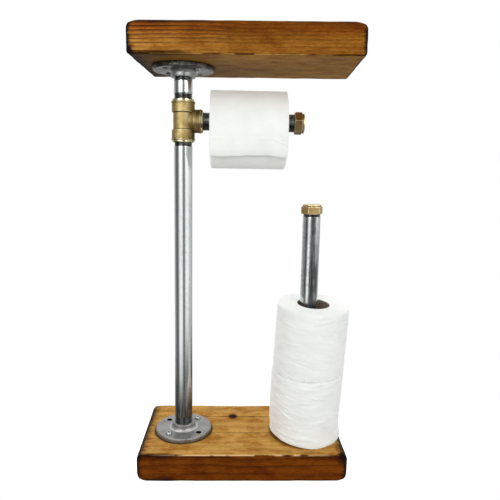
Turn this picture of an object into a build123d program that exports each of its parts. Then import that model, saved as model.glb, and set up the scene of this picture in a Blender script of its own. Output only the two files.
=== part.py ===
from build123d import *
from math import degrees
import os

# Free-standing toilet paper holder made of two boards, threaded pipe, floor flanges and brass fittings.
# Millimetres and degrees. X runs along the boards towards the spare rolls, Y to the back, Z up.
# The origin is the centre of the base board's underside.

# Boards
board_width = 308.0
board_depth = 160.0
board_thickness = 42.0
board_end_round = 8.0
board_corner_round = 6.0
board_long_round = 3.0
clear_height = 552.0  # from the base's top to the shelf's underside

# Places of the two posts and the arm
post_inset = 61.5  # from the left end of each board to the main post's axis
post_forward = 5.0  # from the base's middle line towards the front
spare_inset = 54.0  # from the right end of the base to the spare post's axis
arm_below_shelf = 75.0
shelf_turn = -3.5  # the shelf stands where its flange came tight on the thread

# Pipe and its taper thread
pipe_diameter = 26.9
pipe_wall = 2.6
thread_step = 0.25  # from the pipe's outside in to the thread's crests
thread_depth = 1.16
thread_pitch = 1.814
thread_crest_flat = 0.36
thread_runout = 1.0
thread_clearance = 0.05
long_thread_turns = 12
nipple_thread_turns = 9  # at the nipple's upper end
spare_thread_turns = 7  # at the spare post's upper end
pipe_end_gap = 1.5  # from a pipe's end to the far face of the flange it is screwed into

# Floor flanges
flange_diameter = 86.5
flange_plate = 6.0
flange_rim_round = 1.5
hub_height = 9.0  # above the plate
hub_wall = 4.3
hub_draft = 1.5
hub_root_round = 4.0
hub_top_round = 1.2
flange_hole_diameter = 8.0
flange_hole_edge = 11.25  # from the rim to the middle of a hole
flange_hole_count = 4
first_hole_angle = 45.0
base_flange_turn = 6.0

# Flange screws
screw_head_diameter = 9.6
screw_head_height = 3.0
screw_head_round = 2.0
screw_diameter = 4.8
screw_root_diameter = 3.5
screw_pitch = 2.2
screw_crest_flat = 0.2
screw_turns = 7
screw_neck = 5.0
screw_tip = 4.0
screw_slot_length = 5.0
screw_slot_width = 1.1
screw_slot_depth = 1.5
screw_hole_clearance = 0.05
screw_hole_spare_depth = 1.0

# Spare post fixing in the underside of the base
recess_head_room = 1.0
recess_clearance = 1.0
hub_pocket_clearance = 0.6
post_hole_clearance = 0.3

# Brass tee
tee_length = 61.0
tee_branch_length = 29.0
tee_body_wall = 1.3  # this wall and the next four are outside the thread's crests
tee_collar_wall = 3.3
tee_bead_wall = 4.1
tee_rim_wall = 3.2
tee_mouth_wall = 2.2
tee_collar_length = 18.0
tee_collar_step = 0.8
tee_throat_diameter = 20.0
tee_throat_length = 4.0
tee_branch_collar_length = 13.0
tee_bead_length = 1.8
tee_rim_length = 2.6
tee_mouth_chamfer = 0.8
tee_engagement = 14.0
tee_socket_spare_depth = 1.0
tee_waterway_diameter = 22.0

# Brass hexagon caps
cap_flat_wall = 1.1  # outside the thread's crests, as the next one
cap_shoulder_wall = 1.0
cap_end_wall = 3.0
cap_hex_length = 11.7
cap_shoulder_round = 1.2
cap_corner_drop = 1.0
cap_corner_slope = 2.0
cap_engagement = 10.0
cap_clearance = 0.08
washer_thickness = 1.5
washer_clearance = 1.0
arm_cap_turn = 19.0
spare_cap_turn = 4.0

# Paper rolls
roll_diameter = 110.0
roll_length = 105.0
arm_roll_length = 107.5  # the roll in use is loose and a little wider
roll_edge_round = 1.5
core_bore = 48.0
core_wall = 0.9
glue_gap = 0.05
hang_gap = 0.3
arm_roll_gap = 11.5  # between the tee's branch and the roll on the arm
arm_roll_play = 13.0  # between that roll and the arm's cap
spare_roll_capacity = 3
spare_post_headroom = 30.0
lower_roll_gap = 4.5  # between the spare post and the nearest part of the roll's core
lower_roll_angle = -104.0  # the way the roll stands off the post, from X
upper_roll_gap = 4.6
upper_roll_angle = -45.0
tail_length = 120.0
tail_thickness = 0.5
tail_edge_drop = 42.0  # angle of the torn edge below the front of the roll

# Sizes and places worked out from the driving dimensions
thread_diameter = pipe_diameter - 2 * thread_step
hub_diameter = thread_diameter + 2 * hub_wall
flange_height = flange_plate + hub_height
recess_depth = flange_plate + screw_head_height + recess_head_room
tee_socket_depth = tee_engagement + tee_socket_spare_depth
cap_shoulder_length = cap_engagement + washer_thickness + cap_end_wall - cap_hex_length
core_play = (core_bore - pipe_diameter) / 2
base_top = board_thickness
shelf_bottom = base_top + clear_height
post_x = post_inset - board_width / 2
post_y = -post_forward
spare_x = board_width / 2 - spare_inset
arm_z = shelf_bottom - arm_below_shelf
tee_end = tee_length / 2 - tee_engagement
arm_start_x = post_x + tee_branch_length - tee_engagement
arm_roll_x = post_x + tee_branch_length + arm_roll_gap
arm_end_x = arm_roll_x + arm_roll_length + arm_roll_play + cap_engagement
arm_roll_z = arm_z - (core_play - hang_gap)
spare_flange_z = recess_depth - flange_plate
spare_start_z = spare_flange_z + pipe_end_gap
spare_end_z = base_top + spare_roll_capacity * roll_length + spare_post_headroom + cap_engagement
screw_length = screw_neck + screw_turns * screw_pitch + screw_tip
from_below = (Align.CENTER, Align.CENTER, Align.MIN)
from_above = (Align.CENTER, Align.CENTER, Align.MAX)
same_place = 0.01


def revolved(outline):
    """Solid of revolution about Z from (radius, height) corners."""
    corners = [(radius, 0, height) for radius, height in outline]
    return revolve(make_face(Polyline(*corners, close=True)), axis=Axis.Z)


def along_x(shape):
    """Turn a shape made along Z so that it runs along X."""
    return Rot(0, 90, 0) * shape


def rings(shape, radius, height):
    """The round edges of a turned shape at one radius and height."""
    return [
        edge
        for edge in shape.edges().filter_by(GeomType.CIRCLE)
        if abs(edge.radius - radius) < same_place and abs(edge.arc_center.Z - height) < same_place
    ]


def ridges(start, turns, pitch, crest, root, crest_flat):
    """Outline of a thread, drawn as rings, from start upwards."""
    flank = (pitch - crest_flat) / 2
    corners = []
    for turn in range(turns):
        foot = start + turn * pitch
        corners += [(root, foot), (crest, foot + flank), (crest, foot + flank + crest_flat)]
    return corners + [(root, start + turns * pitch)]


# Pipes

def pipe_thread(start, turns):
    crest = thread_diameter / 2
    return ridges(start, turns, thread_pitch, crest, crest - thread_depth, thread_crest_flat)


def pipe(length, low_turns, high_turns):
    outside = pipe_diameter / 2
    bore = outside - pipe_wall
    high_start = length - high_turns * thread_pitch
    outline = [(bore, 0)]
    outline += pipe_thread(0, low_turns)
    outline += [(outside, low_turns * thread_pitch + thread_runout), (outside, high_start - thread_runout)]
    outline += pipe_thread(high_start, high_turns)
    outline += [(bore, length)]
    return revolved(outline)


def socket(depth):
    """Space for a screwed-in pipe end, from the origin upwards."""
    return Cylinder(thread_diameter / 2 + thread_clearance, depth, align=from_below)


# Floor flanges and their screws

def flange_holes():
    return PolarLocations(flange_diameter / 2 - flange_hole_edge, flange_hole_count, first_hole_angle)


def floor_flange():
    plate = Cylinder(flange_diameter / 2, flange_plate, align=from_below)
    hub = Cone(hub_diameter / 2 + hub_draft, hub_diameter / 2, flange_height, align=from_below)
    body = plate + hub
    hub_root = hub_diameter / 2 + hub_draft * (1 - flange_plate / flange_height)
    body = fillet(rings(body, hub_root, flange_plate), hub_root_round)
    body = fillet(rings(body, flange_diameter / 2, flange_plate), flange_rim_round)
    body = fillet(rings(body, hub_diameter / 2, flange_height), hub_top_round)
    body -= socket(flange_height)
    return body - flange_holes() * Cylinder(flange_hole_diameter / 2, flange_plate, align=from_below)


def flange_screw():
    """Pan head screw, its head standing on the origin and its shank going down."""
    crest = screw_diameter / 2
    root = screw_root_diameter / 2
    head = screw_head_diameter / 2
    thread_start = -screw_neck - screw_turns * screw_pitch
    outline = [(0, thread_start - screw_tip)]
    outline += ridges(thread_start, screw_turns, screw_pitch, crest, root, screw_crest_flat)
    outline += [(root, 0), (head, 0), (head, screw_head_height), (0, screw_head_height)]
    body = revolved(outline)
    body = fillet(rings(body, head, screw_head_height), screw_head_round)
    slot = Box(screw_slot_length, screw_slot_width, screw_slot_depth, align=from_above)
    return body - Pos(0, 0, screw_head_height) * (slot + Rot(0, 0, 90) * slot)


def pilot_hole():
    depth = screw_length + screw_hole_spare_depth
    return Cylinder(screw_diameter / 2 + screw_hole_clearance, depth, align=from_above)


def one_diagonal():
    """Two opposite holes of the flange, which are the ones with screws in."""
    return list(flange_holes())[::2]


base_flange_place = Pos(post_x, post_y, base_top) * Rot(0, 0, base_flange_turn)
shelf_flange_place = Pos(post_x, post_y, shelf_bottom) * Rot(180, 0, 0)
spare_flange_place = Pos(spare_x, 0, spare_flange_z)
on_plate = Pos(0, 0, flange_plate)
under_plate = Rot(180, 0, 0)
base_screw_places = [base_flange_place * hole * on_plate for hole in one_diagonal()]
shelf_screw_places = [shelf_flange_place * hole * on_plate for hole in one_diagonal()]
spare_screw_places = [spare_flange_place * hole * under_plate for hole in flange_holes()]


# Boards

def rounded_board():
    front = Plane.XZ * RectangleRounded(board_width, board_thickness, board_end_round)
    plan = RectangleRounded(board_width, board_depth, board_corner_round)
    side = Plane.YZ * RectangleRounded(board_depth, board_thickness, board_long_round)
    board = extrude(front, board_depth / 2, both=True) & extrude(plan, board_thickness / 2, both=True)
    return board & extrude(side, board_width / 2, both=True)


def drilled(board, screw_places):
    for place in screw_places:
        board -= place * pilot_hole()
    return board


def base_board():
    board = Pos(0, 0, board_thickness / 2) * rounded_board()
    recess = Cylinder(flange_diameter / 2 + recess_clearance, recess_depth, align=from_below)
    pocket_radius = hub_diameter / 2 + hub_draft + hub_root_round + hub_pocket_clearance
    pocket_height = spare_flange_z + flange_height + hub_pocket_clearance
    pocket = Cylinder(pocket_radius, pocket_height, align=from_below)
    post_hole = Cylinder(pipe_diameter / 2 + post_hole_clearance, board_thickness, align=from_below)
    board -= Pos(spare_x, 0, 0) * (recess + pocket + post_hole)
    return drilled(board, base_screw_places + spare_screw_places)


def shelf_board():
    on_post = Pos(post_x, post_y, shelf_bottom) * Rot(0, 0, shelf_turn)
    board = on_post * Pos(-post_x, 0, board_thickness / 2) * rounded_board()
    return drilled(board, shelf_screw_places)


# Brass fittings

def tee_arm(neck_diameter, neck_length, collar_length, reach):
    """One half of the tee's run, or its branch: neck, collar, bead and turned rim, from the centre up."""
    thread = thread_diameter / 2
    neck = neck_diameter / 2
    collar = thread + tee_collar_wall
    bead = thread + tee_bead_wall
    rim = thread + tee_rim_wall
    rim_start = reach - tee_mouth_chamfer - tee_rim_length
    bead_start = rim_start - tee_bead_length
    outline = [(0, 0), (neck, 0), (neck, neck_length), (collar, reach - collar_length)]
    outline += [(collar, bead_start), (bead, bead_start), (bead, rim_start), (rim, rim_start)]
    outline += [(rim, reach - tee_mouth_chamfer), (thread + tee_mouth_wall, reach), (0, reach)]
    return revolved(outline)


def tee():
    half_length = tee_length / 2
    body_diameter = thread_diameter + 2 * tee_body_wall
    body_length = half_length - tee_collar_length - tee_collar_step
    upper = tee_arm(body_diameter, body_length, tee_collar_length, half_length)
    branch = tee_arm(tee_throat_diameter, tee_throat_length, tee_branch_collar_length, tee_branch_length)
    body = upper + Rot(180, 0, 0) * upper + along_x(branch)
    run_socket = Pos(0, 0, half_length - tee_socket_depth) * socket(tee_socket_depth)
    branch_socket = along_x(Pos(0, 0, tee_branch_length - tee_socket_depth) * socket(tee_socket_depth))
    waterway = Cylinder(tee_waterway_diameter / 2, tee_length)
    branch_way = along_x(Cylinder(tee_waterway_diameter / 2, tee_branch_length, align=from_below))
    return body - run_socket - Rot(180, 0, 0) * run_socket - branch_socket - waterway - branch_way


def hexagon_cap():
    """Closed cap on a pipe that ends at the origin: open end below, closed end above."""
    thread = thread_diameter / 2
    hexagon = extrude(RegularPolygon(thread + cap_flat_wall, 6, major_radius=False), cap_hex_length)
    corner = max(vertex.X for vertex in hexagon.vertices())
    crown = Cylinder(corner, cap_hex_length, align=from_below)
    crown_edges = crown.edges().filter_by(GeomType.CIRCLE)
    crown = chamfer(crown_edges, cap_corner_drop, cap_corner_slope * cap_corner_drop)
    shoulder = Cylinder(thread + cap_shoulder_wall, cap_shoulder_length, align=from_below)
    shoulder = fillet(shoulder.edges().group_by(Axis.Z)[-1], cap_shoulder_round)
    body = (hexagon & crown) + Pos(0, 0, cap_hex_length) * shoulder
    body -= Cylinder(thread + cap_clearance, cap_engagement + washer_thickness, align=from_below)
    return Pos(0, 0, -cap_engagement) * body


def cap_washer():
    outside = Circle(thread_diameter / 2 - washer_clearance)
    return extrude(outside - Circle(pipe_diameter / 2 - pipe_wall), washer_thickness)


# Paper rolls, each standing on the origin

def roll_core(length):
    radius = core_bore / 2
    return extrude(Circle(radius + core_wall) - Circle(radius), length)


def roll_paper(length):
    outside = Cylinder(roll_diameter / 2, length, align=from_below)
    outside = fillet(outside.edges().filter_by(GeomType.CIRCLE), roll_edge_round)
    return outside - Cylinder(core_bore / 2 + core_wall + glue_gap, length, align=from_below)


def tail_sheet():
    """Last sheet of the roll on the arm, lying round its front from the torn edge up to the top."""
    inside = roll_diameter / 2 + glue_gap
    sheet_angle = degrees(tail_length / inside)
    top_angle = tail_edge_drop - 90 - sheet_angle
    section = Plane.XZ * Pos(inside, 0) * Rectangle(tail_thickness, arm_roll_length, align=Align.MIN)
    return Rot(0, 0, top_angle) * revolve(section, axis=Axis.Z, revolution_arc=sheet_angle)


# Assembly

def beside_post(height, gap, angle):
    """Place of a spare roll whose core stands off the post, closest on the far side."""
    return Pos(spare_x, 0, height) * Rot(0, 0, angle) * Pos(core_play - gap, 0, 0)


post_length = arm_z - tee_end - (base_top + pipe_end_gap)
nipple_length = shelf_bottom - pipe_end_gap - (arm_z + tee_end)
post_place = Pos(post_x, post_y, base_top + pipe_end_gap)
nipple_place = Pos(post_x, post_y, arm_z + tee_end)
arm_place = Pos(arm_start_x, post_y, arm_z) * Rot(0, 90, 0)
arm_end_place = Pos(arm_end_x, post_y, arm_z) * Rot(0, 90, 0)
spare_place = Pos(spare_x, 0, spare_start_z)
spare_end_place = Pos(spare_x, 0, spare_end_z)
arm_roll_place = Pos(arm_roll_x, post_y, arm_roll_z) * Rot(0, 90, 0)
lower_roll_place = beside_post(base_top, lower_roll_gap, lower_roll_angle)
upper_roll_place = beside_post(base_top + roll_length, upper_roll_gap, upper_roll_angle)

nodes = {
    "base_board": base_board(),
    "shelf_board": shelf_board(),
    "base_flange": base_flange_place * floor_flange(),
    "shelf_flange": shelf_flange_place * floor_flange(),
    "spare_post_flange": spare_flange_place * floor_flange(),
    "base_flange_screws": Compound([place * flange_screw() for place in base_screw_places]),
    "shelf_flange_screws": Compound([place * flange_screw() for place in shelf_screw_places]),
    "spare_post_flange_screws": Compound([place * flange_screw() for place in spare_screw_places]),
    "main_post": post_place * pipe(post_length, long_thread_turns, long_thread_turns),
    "upper_nipple": nipple_place * pipe(nipple_length, long_thread_turns, nipple_thread_turns),
    "tee": Pos(post_x, post_y, arm_z) * tee(),
    "arm_pipe": arm_place * pipe(arm_end_x - arm_start_x, long_thread_turns, long_thread_turns),
    "spare_post": spare_place * pipe(spare_end_z - spare_start_z, long_thread_turns, spare_thread_turns),
    "arm_cap": arm_end_place * Rot(0, 0, arm_cap_turn) * hexagon_cap(),
    "arm_cap_washer": arm_end_place * cap_washer(),
    "spare_post_cap": spare_end_place * Rot(0, 0, spare_cap_turn) * hexagon_cap(),
    "spare_post_cap_washer": spare_end_place * cap_washer(),
    "arm_roll_core": arm_roll_place * roll_core(arm_roll_length),
    "arm_roll_paper": arm_roll_place * roll_paper(arm_roll_length),
    "arm_roll_tail_sheet": arm_roll_place * tail_sheet(),
    "lower_roll_core": lower_roll_place * roll_core(roll_length),
    "lower_roll_paper": lower_roll_place * roll_paper(roll_length),
    "upper_roll_core": upper_roll_place * roll_core(roll_length),
    "upper_roll_paper": upper_roll_place * roll_paper(roll_length),
}

os.makedirs("parts", exist_ok=True)
for name, shape in nodes.items():
    export_step(shape, f"parts/{name}.step")
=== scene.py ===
# Pipe toilet paper holder with two pine boards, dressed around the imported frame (metres, Z up, front is -Y)
import math
import random
from functools import partial
import bmesh
import bpy
import numpy as np
from mathutils import Matrix, Vector, noise


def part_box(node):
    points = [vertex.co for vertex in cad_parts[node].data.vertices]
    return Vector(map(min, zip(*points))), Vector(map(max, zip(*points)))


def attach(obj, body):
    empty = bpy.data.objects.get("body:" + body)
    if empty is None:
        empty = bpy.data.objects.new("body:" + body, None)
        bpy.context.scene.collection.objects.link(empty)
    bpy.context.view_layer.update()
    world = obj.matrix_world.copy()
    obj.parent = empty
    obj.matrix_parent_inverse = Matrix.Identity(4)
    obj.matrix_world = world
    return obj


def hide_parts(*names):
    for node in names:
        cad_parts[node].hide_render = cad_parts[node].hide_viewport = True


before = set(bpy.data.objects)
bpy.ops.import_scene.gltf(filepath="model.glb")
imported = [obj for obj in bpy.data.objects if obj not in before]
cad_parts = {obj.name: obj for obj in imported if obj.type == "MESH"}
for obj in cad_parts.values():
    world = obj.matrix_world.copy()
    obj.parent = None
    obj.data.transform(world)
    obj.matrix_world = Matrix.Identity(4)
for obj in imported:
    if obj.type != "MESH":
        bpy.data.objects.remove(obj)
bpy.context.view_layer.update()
scene = bpy.context.scene
scene.view_settings.view_transform = "Standard"
mm = 0.001
print("frame loaded:", len(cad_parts), "nodes")


# Small helpers

def hexLinear(code):
    channels = [int(code[i:i + 2], 16) / 255 for i in (1, 3, 5)]
    return [c / 12.92 if c <= 0.04045 else ((c + 0.055) / 1.055) ** 2.4 for c in channels] + [1.0]


def setInputs(node, links):
    for key, value in links.items():
        if isinstance(value, bpy.types.NodeSocket):
            node.id_data.links.new(value, node.inputs[key])
        else:
            node.inputs[key].default_value = value


def addNode(tree, kind, links=(), operation=None, out=0, stops=None, grainMm=None, **settings):
    node = tree.nodes.new("ShaderNode" + kind)
    if operation:
        node.operation = operation
    for key, value in settings.items():
        setattr(node, key, value)
    links = dict(links if isinstance(links, dict) else enumerate(links))  # a list fills inputs in order
    if grainMm:  # a pattern's size in millimetres along x, y and z
        point = addNode(tree, "TexCoord", out="Object")
        scale = [1 / (size * mm) for size in grainMm]
        links.update(Vector=addNode(tree, "Mapping", {"Vector": point, "Scale": scale}), Scale=1.0)
    setInputs(node, links)
    if stops:  # colour ramp stops as (place, hex colour or grey value)
        elements = node.color_ramp.elements
        while len(elements) < len(stops):
            elements.new(1.0)
        for element, (place, tone) in zip(elements, stops):
            element.position = place
            element.color = hexLinear(tone) if isinstance(tone, str) else (tone, tone, tone, 1)
    return node.outputs[out]


colourMix = dict(out=2, data_type="RGBA")  # a Mix node for colours: 0 is the share, 6 and 7 are the colours
tintMix = dict(colourMix, blend_type="MULTIPLY")
smoothStep = dict(interpolation_type="SMOOTHSTEP")


def newMaterial(name):
    material = bpy.data.materials.new(name)
    material.use_nodes = True
    tree = material.node_tree
    return material, partial(addNode, tree), tree.nodes["Principled BSDF"]


def addPiece(name, mesh, place=None):
    piece = bpy.data.objects.new(name, mesh)
    scene.collection.objects.link(piece)
    if place:
        piece.matrix_world = place
    return piece


def addSmoothing(piece, name, passes, group=""):
    ease = piece.modifiers.new(name, "SMOOTH")
    ease.factor = 0.5
    ease.iterations = passes
    ease.vertex_group = group


def bakeModifiers(piece):
    ready = piece.evaluated_get(bpy.context.evaluated_depsgraph_get())
    mesh = bpy.data.meshes.new_from_object(ready)
    piece.modifiers.clear()
    piece.data = mesh


def softCopy(name, node, voxel, passes, place=None):
    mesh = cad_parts[node].data.copy()
    mesh.materials.clear()
    shape = bmesh.new()
    shape.from_mesh(mesh)
    bmesh.ops.remove_doubles(shape, verts=shape.verts, dist=0.001 * mm)
    shape.to_mesh(mesh)
    shape.free()
    if place:
        mesh.transform(place.inverted())
    piece = addPiece(name, mesh, place)
    remesh = piece.modifiers.new("even quads", "REMESH")
    remesh.mode = "VOXEL"
    remesh.voxel_size = voxel * mm
    addSmoothing(piece, "eased edges", passes)
    bakeModifiers(piece)
    return piece


def readPoints(mesh):
    values = np.zeros(len(mesh.vertices) * 3, np.float32)
    mesh.vertices.foreach_get("co", values)
    return values.reshape(-1, 3).astype(float)


def readNormals(mesh):
    values = np.zeros(len(mesh.vertices) * 3, np.float32)
    mesh.vertex_normals.foreach_get("vector", values)
    return values.reshape(-1, 3).astype(float)


def setPoints(mesh, points):
    mesh.vertices.foreach_set("co", points.astype(np.float32).ravel())
    mesh.update()


def pushOut(mesh, amount):
    setPoints(mesh, readPoints(mesh) + readNormals(mesh) * np.asarray(amount)[:, None] * mm)


def addAttribute(mesh, name, values):
    layer = mesh.attributes.new(name, "FLOAT", "POINT")
    layer.data.foreach_set("value", np.asarray(values, np.float32))


def addRelief(mesh, reach, passes):
    points = readPoints(mesh)  # hollow comes out 1 in inside corners, ridge 1 on outside edges
    pairs = np.zeros(len(mesh.edges) * 2, np.int32)
    mesh.edges.foreach_get("vertices", pairs)
    first, second = pairs.reshape(-1, 2).T
    total = len(points)
    count = np.bincount(pairs, minlength=total)
    blurred = points.T.copy()
    for _ in range(passes):
        blurred = np.array([np.bincount(first, row[second], total) + np.bincount(second, row[first], total)
                            for row in blurred]) / count
    curve = ((blurred.T - points) * readNormals(mesh)).sum(axis=1) / (reach * mm)
    addAttribute(mesh, "hollow", soften(curve))
    addAttribute(mesh, "ridge", soften(-curve))


def closedMesh(name, points, faces):
    mesh = bpy.data.meshes.new(name)
    mesh.from_pydata((points.reshape(-1, 3) * mm).tolist(), [], faces.tolist())
    shape = bmesh.new()
    shape.from_mesh(mesh)
    bmesh.ops.recalc_face_normals(shape, faces=shape.faces)
    shape.to_mesh(mesh)
    shape.free()
    return mesh


def ringMesh(name, grid):
    rows, columns = grid.shape[:2]  # every row is a ring, and the last row joins the first
    i, j = np.meshgrid(np.arange(rows), np.arange(columns), indexing="ij")
    up, over = (i + 1) % rows, (j + 1) % columns
    corners = (i * columns + j, i * columns + over, up * columns + over, up * columns + j)
    return closedMesh(name, grid, np.stack(corners, axis=-1).reshape(-1, 4))


def finishPiece(piece, material, body, node):
    piece.data.materials.clear()
    piece.data.materials.append(material)
    piece.data.polygons.foreach_set("use_smooth", [True] * len(piece.data.polygons))
    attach(piece, body)
    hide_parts(node)


def noiseField(points, sizeMm, seed):
    shift = Vector((seed * 7.13, seed * 3.71, seed * 5.37))
    flat = np.asarray(points, float).reshape(-1, 3) / np.asarray(sizeMm, float)
    values = np.array([noise.noise(Vector(p) + shift) for p in flat])
    return values.reshape(np.shape(points)[:-1])


def soften(value):
    value = np.clip(value, 0, 1)
    return value * value * (3 - 2 * value)


# Camera, fitted to the picture; millimetres and degrees

cameraSetup = dict(lens=36.31, eye=(-15.5, -758.0, 444.7), yaw=1.754, pitch=8.546, roll=-1.043)


def makeCamera(setup):
    yaw, pitch, roll = (math.radians(setup[key]) for key in ("yaw", "pitch", "roll"))
    level = math.cos(pitch)
    ahead = Vector((math.sin(yaw) * level, math.cos(yaw) * level, -math.sin(pitch)))
    right = Vector((math.cos(yaw), -math.sin(yaw), 0))
    down = ahead.cross(right)
    across = right * math.cos(roll) + down * math.sin(roll)
    upright = right * math.sin(roll) - down * math.cos(roll)
    turn = Matrix((across, upright, -ahead)).transposed().to_4x4()
    camera = bpy.data.objects.new("camera", bpy.data.cameras.new("camera"))
    camera.data.lens = setup["lens"]
    camera.data.sensor_width = 36
    camera.data.clip_start = 0.05
    camera.matrix_world = Matrix.Translation(Vector(setup["eye"]) * mm) @ turn
    scene.collection.objects.link(camera)
    scene.camera = camera


makeCamera(cameraSetup)
print("camera set")


# Studio: soft boxes wrapped round the object, three lamps, and a small round white table

studioSetup = dict(
    wrap=[  # brightness by compass angle: 0 is the front, -90 the left, 90 the right, 180 the back
        (-180, 0.7), (-160, 0.55), (-137, 0.5), (-112, 0.33), (-97, 0.14), (-73, 0.11), (-60, 0.28),
        (-48, 0.7), (-40, 1.0), (-14, 1.0), (-4, 0.55), (4, 0.18), (18, 0.16), (28, 0.6), (38, 1.0),
        (66, 0.95), (82, 0.8), (97, 0.66), (115, 0.5), (135, 0.45), (160, 0.55), (180, 0.7)],
    wrapGain=1.35,
    wrapFloor=(-0.46, -0.32, 0.05),  # the boxes end above the floor: dark up to, full from, share left
    wrapShort=(0.2, 0.7, 0.06),  # between these angles, in radians, the right-hand boxes end that much higher
    ceiling=(0.6, 0.88, 1.5),  # a wide box overhead: where it begins, where it is full, how bright
    backdrop=(0.9, 0.97),  # mirrored from straight behind, the room turns into the white background
    ambient=(0.60, 0.72),  # light on matte surfaces from below and from above
    ambientBand=0.4,  # how far from level the one passes into the other
    spread=90,
    lamps=[
        dict(name="key soft box", at=(-0.7, -1.2, 0.92), aim=(0.0, 0.0, 0.56), size=(0.8, 0.6), watts=1.7),
        dict(name="fill soft box", at=(0.85, -1.1, 0.88), aim=(0.0, 0.0, 0.56), size=(0.8, 0.6), watts=1.1),
        dict(name="top soft box", at=(-0.1, 0.3, 1.6), aim=(0.0, 0.0, 0.0), size=(0.9, 0.7), watts=1.9),
    ],
    table="#f0f0f0",
    tableLift=0.8,
    tableRadius=0.45,
    tableFade=(0.10, 0.012),  # how far outside the base board it has gone, and begins to go
)


def makeStudio(setup):
    world = bpy.data.worlds.new("studio")
    scene.world = world
    world.use_nodes = True
    add = partial(addNode, world.node_tree)
    path = add("LightPath").node.outputs
    way = add("TexCoord", out="Generated")
    part = add("SeparateXYZ", [way]).node.outputs
    front = add("Math", [part["Y"], -1.0], "MULTIPLY")
    angle = add("Math", [part["X"], front], "ARCTAN2")
    share = add("MapRange", [angle, -math.pi, math.pi])
    wrap = add("ValToRGB", [share], stops=[(place / 360 + 0.5, tone) for place, tone in setup["wrap"]])
    begin, end, short = setup["wrapShort"]
    cutOff = add("MapRange", [angle, begin, end, 0.0, short])
    tall = add("Math", [part["Z"], cutOff], "SUBTRACT")
    low, high, dark = setup["wrapFloor"]
    rise = add("MapRange", [tall, low, high, dark * setup["wrapGain"], setup["wrapGain"]],
               **smoothStep)
    upright = add("VectorMath", {0: wrap, "Scale": rise}, "SCALE")
    low, high, glow = setup["ceiling"]
    overhead = add("MapRange", [part["Z"], low, high, 0.0, glow], **smoothStep)
    boxes = add("VectorMath", [upright, overhead], "MAXIMUM")
    behind = add("MapRange", [part["Y"], *setup["backdrop"]])
    plain = add("MapRange", [part["Z"], -setup["ambientBand"], setup["ambientBand"], *setup["ambient"]])
    room = add("Mix", {0: path["Is Diffuse Ray"], 6: boxes, 7: plain}, **colourMix)
    shiny = add("Math", [path["Is Glossy Ray"], behind], "MULTIPLY")
    clear = add("Math", [path["Is Camera Ray"], path["Is Transmission Ray"]], "MAXIMUM")
    white = add("Math", [clear, shiny], "MAXIMUM")
    tone = add("Mix", {0: white, 6: room, 7: (1, 1, 1, 1)}, **colourMix)
    setInputs(world.node_tree.nodes["Background"], {"Color": tone})

    for lamp in setup["lamps"]:
        light = bpy.data.lights.new(lamp["name"], "AREA")
        light.shape = "RECTANGLE"
        light.size, light.size_y = lamp["size"]
        light.energy = lamp["watts"]
        light.spread = math.radians(setup["spread"])
        box = bpy.data.objects.new(lamp["name"], light)
        box.location = lamp["at"]
        box.rotation_euler = (Vector(lamp["aim"]) - Vector(lamp["at"])).to_track_quat("-Z", "Y").to_euler()
        box.visible_camera = False
        scene.collection.objects.link(box)

    shape = bmesh.new()
    bmesh.ops.create_circle(shape, cap_ends=True, radius=setup["tableRadius"], segments=96)
    mesh = bpy.data.meshes.new("table")
    shape.to_mesh(mesh)
    shape.free()
    table = addPiece("table", mesh)
    material, add, skin = newMaterial("matte white laminate")
    path = add("LightPath").node.outputs
    direct = add("Math", [path["Is Camera Ray"], path["Is Transmission Ray"]], "MAXIMUM")
    seen = add("Math", [direct, path["Is Glossy Ray"]], "MAXIMUM")
    lift = add("Math", [seen, setup["tableLift"]], "MULTIPLY")
    point = add("TexCoord", out="Object")
    foot = [(high - low) / 2 for low, high in zip(*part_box("base_board"))]
    spread = add("VectorMath", [point], "ABSOLUTE")
    past = add("VectorMath", [spread, foot], "SUBTRACT")
    outside = add("VectorMath", [past, (0, 0, 0)], "MAXIMUM")
    reach = add("VectorMath", [outside], "LENGTH", out="Value")
    solid = add("MapRange", [reach, *setup["tableFade"]], **smoothStep)
    setInputs(skin, {"Base Color": hexLinear(setup["table"]), "Roughness": 0.9, "Specular IOR Level": 0.1,
                     "Emission Color": (1, 1, 1, 1), "Emission Strength": lift, "Alpha": solid})
    mesh.materials.append(material)


makeStudio(studioSetup)
print("studio set")


# Pine boards: planed, edges scorched and rubbed back, stained and waxed

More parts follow.
